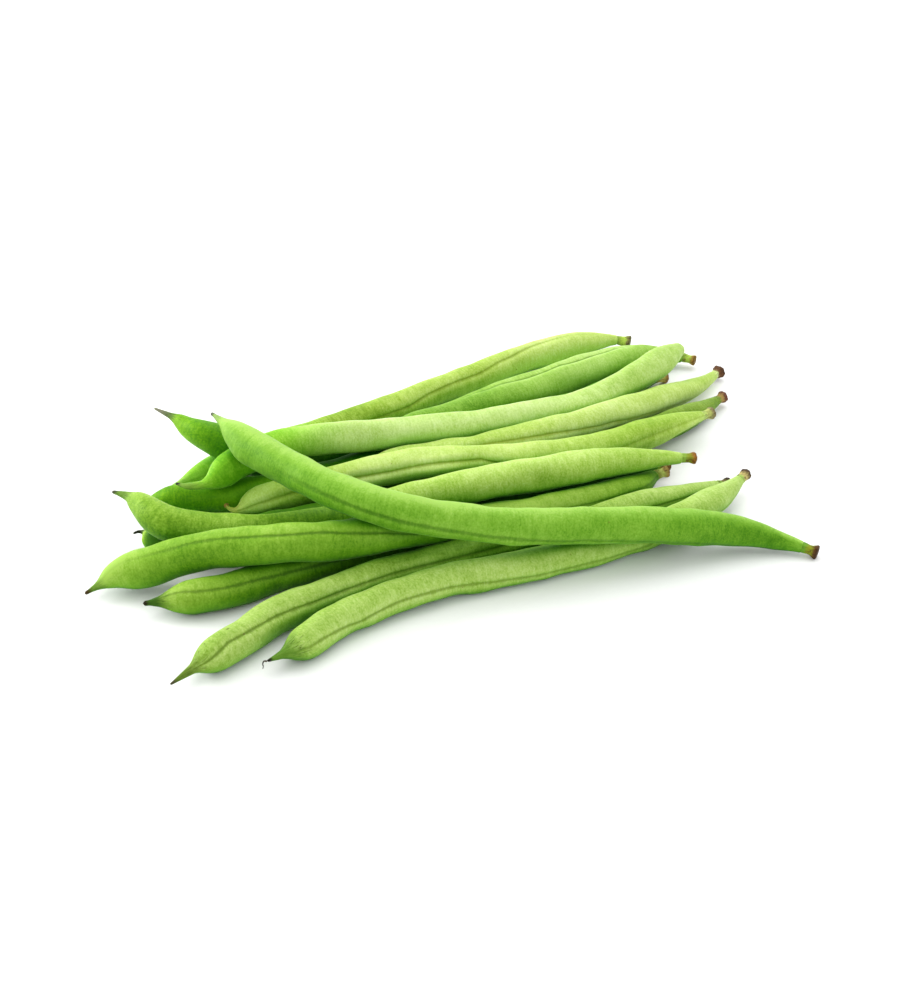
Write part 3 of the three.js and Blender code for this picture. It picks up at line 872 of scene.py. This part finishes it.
def pod_green(tree, looks, textures, along, from_seam, seam_shows):
    """The pod's green, made paler or deeper by its textures, seam bands and painted light and
    shade.
    """
    paleness = read_number(tree, "paleness")
    for key, strength in GREEN_VARIATION.items():
        centred = calc(tree, "SUBTRACT", textures[key], 0.5)
        variation = strength * looks.get("mottle", 1.0)
        paleness = calc(tree, "MULTIPLY_ADD", centred, variation, paleness)
    outer = ease(tree, from_seam, *BAND_END, BAND_PALENESS, 0.0)
    band = calc(tree, "MULTIPLY", ease(tree, from_seam, *BAND_START), outer)
    paleness = calc(tree, "MULTIPLY_ADD", band, seam_shows, paleness)

    scale = 1 / (PALEST - DEEPEST)
    place = calc(tree, "MULTIPLY_ADD", paleness, scale, -DEEPEST * scale)
    tone = colour_ramp(tree, place, greens_of(looks["tone"]))
    if "end_tone" in looks:
        end_tone = colour_ramp(tree, place, greens_of(looks["end_tone"]))
        tone = mix(tree, ease(tree, along, *END_TONE_FADE), end_tone, tone)
    return tone


def add_seam_line(tree, tone, looks, textures, from_seam, seam_shows):
    """A thin dark line along the seam, of uneven width."""
    widths = [width * looks.get("seam_size", 1.0) for width in SEAM_WIDTHS]
    seam_width = ease(tree, textures["wobble"], *WIDTH_WOBBLE, *widths)
    inside = calc(tree, "DIVIDE", from_seam, seam_width)
    line = calc(tree, "MULTIPLY", ease(tree, inside, *SEAM_EDGE, SEAM_STRENGTH, 0.0), seam_shows)
    return mix(tree, line, tone, scaled(greens_of(looks["tone"])[0], SEAM_TINT))


def add_marks(tree, tone, looks, textures, skin, full_radius, offset):
    """Sparse brown specks, and the marks that this bean has."""
    shifted = node(tree, "ShaderNodeMapping", {"Vector": skin, "Location": (offset,) * 3})
    cells = node(
        tree, "ShaderNodeTexVoronoi", {"Vector": shifted.outputs[0], "Scale": CELL_SCALE}
    )
    chance = node(tree, "ShaderNodeSeparateColor", {"Color": cells.outputs["Color"]}).outputs[0]
    rare = calc(tree, "GREATER_THAN", chance, EMPTY_CELLS)
    dot = ease(tree, cells.outputs["Distance"], *SPECK_EDGE, SPECK_STRENGTH, 0.0)
    tone = mix(tree, calc(tree, "MULTIPLY", dot, rare), tone, srgb(*SPECK_COLOUR))

    for along, degrees, size in looks.get("marks", []):
        turn = math.radians(degrees)
        centre = (along, full_radius * math.cos(turn), full_radius * math.sin(turn))
        inputs = {0: skin, 1: centre}
        apart = node(tree, "ShaderNodeVectorMath", inputs, operation="DISTANCE").outputs["Value"]
        ragged = calc(tree, "ADD", apart, calc(tree, "MULTIPLY", textures["grain"], size))
        low, high = (size * share for share in MARK_EDGE)
        mark = ease(tree, ragged, low, high, MARK_STRENGTH, 0.0)
        tone = mix(tree, mark, tone, srgb(*MARK_COLOUR))
    return tone


def add_tail(tree, tone, looks, textures, along):
    """The tail darkens to its tip, with dark fibres."""
    tail, tip = srgb(*looks["tail"]), srgb(*looks["tip"])
    centred = calc(tree, "ADD", along, -TAIL_RAGGEDNESS / 2)
    ragged = calc(tree, "MULTIPLY_ADD", textures["blotches"], TAIL_RAGGEDNESS, centred)

    low, high = (looks["tail_length"] * share for share in TAIL_EDGE)
    tone = mix(tree, ease(tree, ragged, low, high, TAIL_STRENGTH, 0.0), tone, tail)
    low, high = (looks["tail_length"] * share for share in FIBRES_EDGE)
    within = ease(tree, along, low, high, FIBRES_STRENGTH, 0.0)
    fibres = calc(tree, "MULTIPLY", ease(tree, textures["fibres"], *FIBRES_SEEN), within)
    tone = mix(tree, fibres, tone, scaled(tail, FIBRES_TINT))
    low, high = (looks["tip_length"] * share for share in TIP_EDGE)
    return mix(tree, ease(tree, ragged, low, high, 1.0, 0.0), tone, tip)


def add_painted_crevice_shade(tree, tone, looks):
    """Paints shade: the green is darkened between the beans, where shade falls."""
    for distance, closed, opened, tint in PAINTED_CREVICE_SHADE:
        painted_shade_amount = painted_crevice_shade(tree, distance, closed, opened)
        shade = calc(tree, "MULTIPLY", painted_shade_amount, looks.get("shade", 1.0))
        tone = mix(tree, shade, tone, tint, "MULTIPLY")
    return tone


def pod_material(name, looks, full_radius, seed):
    material, tree = new_tree(name + "_skin")
    skin = read_vector(tree, "skin")
    seam_shows = read_number(tree, "seam_shows")
    along, _, sideways = node(tree, "ShaderNodeSeparateXYZ", {"Vector": skin}).outputs
    from_seam = calc(tree, "ABSOLUTE", sideways)
    offset = POD_NOISE_STEP * seed
    textures = noises(tree, skin, POD_NOISES, offset)

    tone = pod_green(tree, looks, textures, along, from_seam, seam_shows)
    tone = add_seam_line(tree, tone, looks, textures, from_seam, seam_shows)
    tone = add_marks(tree, tone, looks, textures, skin, full_radius, offset)
    tone = add_tail(tree, tone, looks, textures, along)
    tone = add_painted_crevice_shade(tree, tone, looks)

    fine = calc(tree, "MULTIPLY_ADD", textures["streaks"], STREAK_RELIEF, textures["grain"])
    height = calc(tree, "MULTIPLY_ADD", textures["blotches"], BLOTCH_RELIEF, fine)
    bump_inputs = {"Height": height, "Strength": 0.6, "Distance": 0.1 * MM}
    finish_material(tree, {
        "Base Color": tone,
        "Roughness": ease(tree, textures["grain"], *POD_ROUGHNESS),
        "Normal": node(tree, "ShaderNodeBump", bump_inputs).outputs[0],
        "IOR": 1.42,
        "Specular IOR Level": 0.1,
        "Subsurface Weight": 0.2,
        "Subsurface Radius": (0.8, 1.0, 0.25),
        "Subsurface Scale": 1.2 * MM,
        "Sheen Weight": 0.12,
        "Sheen Roughness": 0.4,
        "Sheen Tint": (0.55, 1.0, 0.3, 1.0),
    })
    return material


# --- the stem's material ---

def stem_material(name, looks, length, seed):
    material, tree = new_tree(name + "_stub")
    skin = read_vector(tree, "skin")
    along = node(tree, "ShaderNodeSeparateXYZ", {"Vector": skin}).outputs[0]
    neck = srgb(*looks.get("neck", looks["tone"]))
    bark, rim = srgb(*looks["stem"]), srgb(*looks["rim"])
    dark = scaled(rim, DARK_TINT)
    textures = noises(tree, skin, STEM_NOISES, STEM_NOISE_STEP * seed)
    fibres, blots = textures["fibres"], textures["blots"]

    # green where it leaves the pod, woody further out, and the rim's colour at the cut end
    centred = calc(tree, "ADD", along, -STEM_RAGGEDNESS / 2)
    ragged = calc(tree, "MULTIPLY_ADD", blots, STEM_RAGGEDNESS, centred)
    bark_low, bark_high = (length * share for share in BARK_EDGE)
    tone = mix(tree, ease(tree, ragged, bark_low, bark_high), neck, bark)
    rim_low, rim_high = (length * share for share in RIM_EDGE)
    tone = mix(tree, ease(tree, ragged, rim_low, rim_high), tone, rim)

    # darker fibres, blots and edge of the rim
    fibre_shade = mix(tree, ease(tree, fibres, *FIBRES_SHADED), WHITE, FIBRE_SHADE)
    tone = mix(tree, 1.0, tone, fibre_shade, "MULTIPLY")
    tone = mix(tree, ease(tree, blots, *BLOTS_DARKENED), tone, dark)
    edge_low, edge_high = (length * share for share in DARK_RIM_EDGE)
    at_edge = ease(tree, along, edge_low, edge_high)
    edge = calc(tree, "MULTIPLY", at_edge, ease(tree, blots, *BLOTS_AT_EDGE))
    tone = mix(tree, calc(tree, "MULTIPLY", edge, DARK_RIM_STRENGTH), tone, dark)

    height = calc(tree, "ADD", fibres, blots)
    bump_inputs = {"Height": height, "Strength": 0.7, "Distance": 0.12 * MM}
    finish_material(tree, {
        "Base Color": tone,
        "Roughness": ease(tree, fibres, *STEM_ROUGHNESS),
        "Normal": node(tree, "ShaderNodeBump", bump_inputs).outputs[0],
        "IOR": 1.45,
        "Specular IOR Level": 0.25,
        "Subsurface Weight": 0.1,
        "Subsurface Radius": (0.8, 0.6, 0.2),
        "Subsurface Scale": 0.6 * MM,
    })
    return material


# --- the beans ---

for seed, (name, looks) in enumerate(BEANS.items(), start=1):
    build_pod(name, looks, seed)
    if "thread" in looks:
        build_thread(name, looks, seed)
    if looks["stem"] is not None:
        build_stem(name, looks, seed)


# --- floor, light and camera ---

FLOOR_SIZE = 6
FLOOR_DEPTH = 0.05 * MM  # the floor lies just under the beans
FLOOR_TONES = ((0.79, 0.8, 0.79, 1.0), (0.82, 0.83, 0.82, 1.0))
FLOOR_GRAIN = 900.0
FLOOR_ROUGHNESS = 0.8

# Soft round lights that face the frame's origin: place in metres, diameter and watts.
LIGHTS = {
    "key": ((0.15, 0.5, 0.9), 1.3, 6.0),
    "left_rim": ((-0.9, 0.3, 0.35), 0.6, 8.0),
}
SKY_STRENGTH = 1.25

TARGET = Vector((-1.87, -15.1, 8.0)) * MM
CAMERA_DISTANCE = 0.480
CAMERA_ELEVATION = math.radians(33)
LENS = 72.7
SENSOR_WIDTH = 36.0
SHIFT_X = 0.0045
SHIFT_Y = 0.005


def floor_material():
    material, tree = new_tree("studio_floor")
    where = node(tree, "ShaderNodeTexCoord").outputs["Object"]
    inputs = {"Vector": where, "Scale": FLOOR_GRAIN, "Detail": 2.0}
    grain = node(tree, "ShaderNodeTexNoise", inputs).outputs["Fac"]
    tone = mix(tree, grain, *FLOOR_TONES)
    finish_material(tree, {"Base Color": tone, "Roughness": FLOOR_ROUGHNESS})
    return material


def look_along(thing, direction):
    """Turns a light or a camera to face a direction."""
    thing.rotation_euler = direction.to_track_quat("-Z", "Y").to_euler()


def area_light(name, location, size, power):
    data = bpy.data.lights.new(name, "AREA")
    data.shape = "DISK"
    data.size = size
    data.energy = power
    light = bpy.data.objects.new(name, data)
    light.location = location
    look_along(light, -Vector(location))
    bpy.context.scene.collection.objects.link(light)


bpy.ops.mesh.primitive_plane_add(size=FLOOR_SIZE, location=(0, 0, -FLOOR_DEPTH))
floor = bpy.context.object
floor.name = "floor"
floor.data.materials.append(floor_material())

for light_name, (location, size, power) in LIGHTS.items():
    area_light(light_name, location, size, power)

world = bpy.data.worlds.new("studio")
world.use_nodes = True
background = world.node_tree.nodes["Background"]
background.inputs["Color"].default_value = WHITE
background.inputs["Strength"].default_value = SKY_STRENGTH
bpy.context.scene.world = world
bpy.context.scene.view_settings.view_transform = "Standard"

camera_data = bpy.data.cameras.new("camera")
camera_data.lens = LENS
camera_data.sensor_width = SENSOR_WIDTH
camera_data.shift_x = SHIFT_X
camera_data.shift_y = SHIFT_Y
camera = bpy.data.objects.new("camera", camera_data)
back = Vector((0, -math.cos(CAMERA_ELEVATION), math.sin(CAMERA_ELEVATION)))
camera.location = TARGET + CAMERA_DISTANCE * back
look_along(camera, -back)
bpy.context.scene.collection.objects.link(camera)
bpy.context.scene.camera = camera
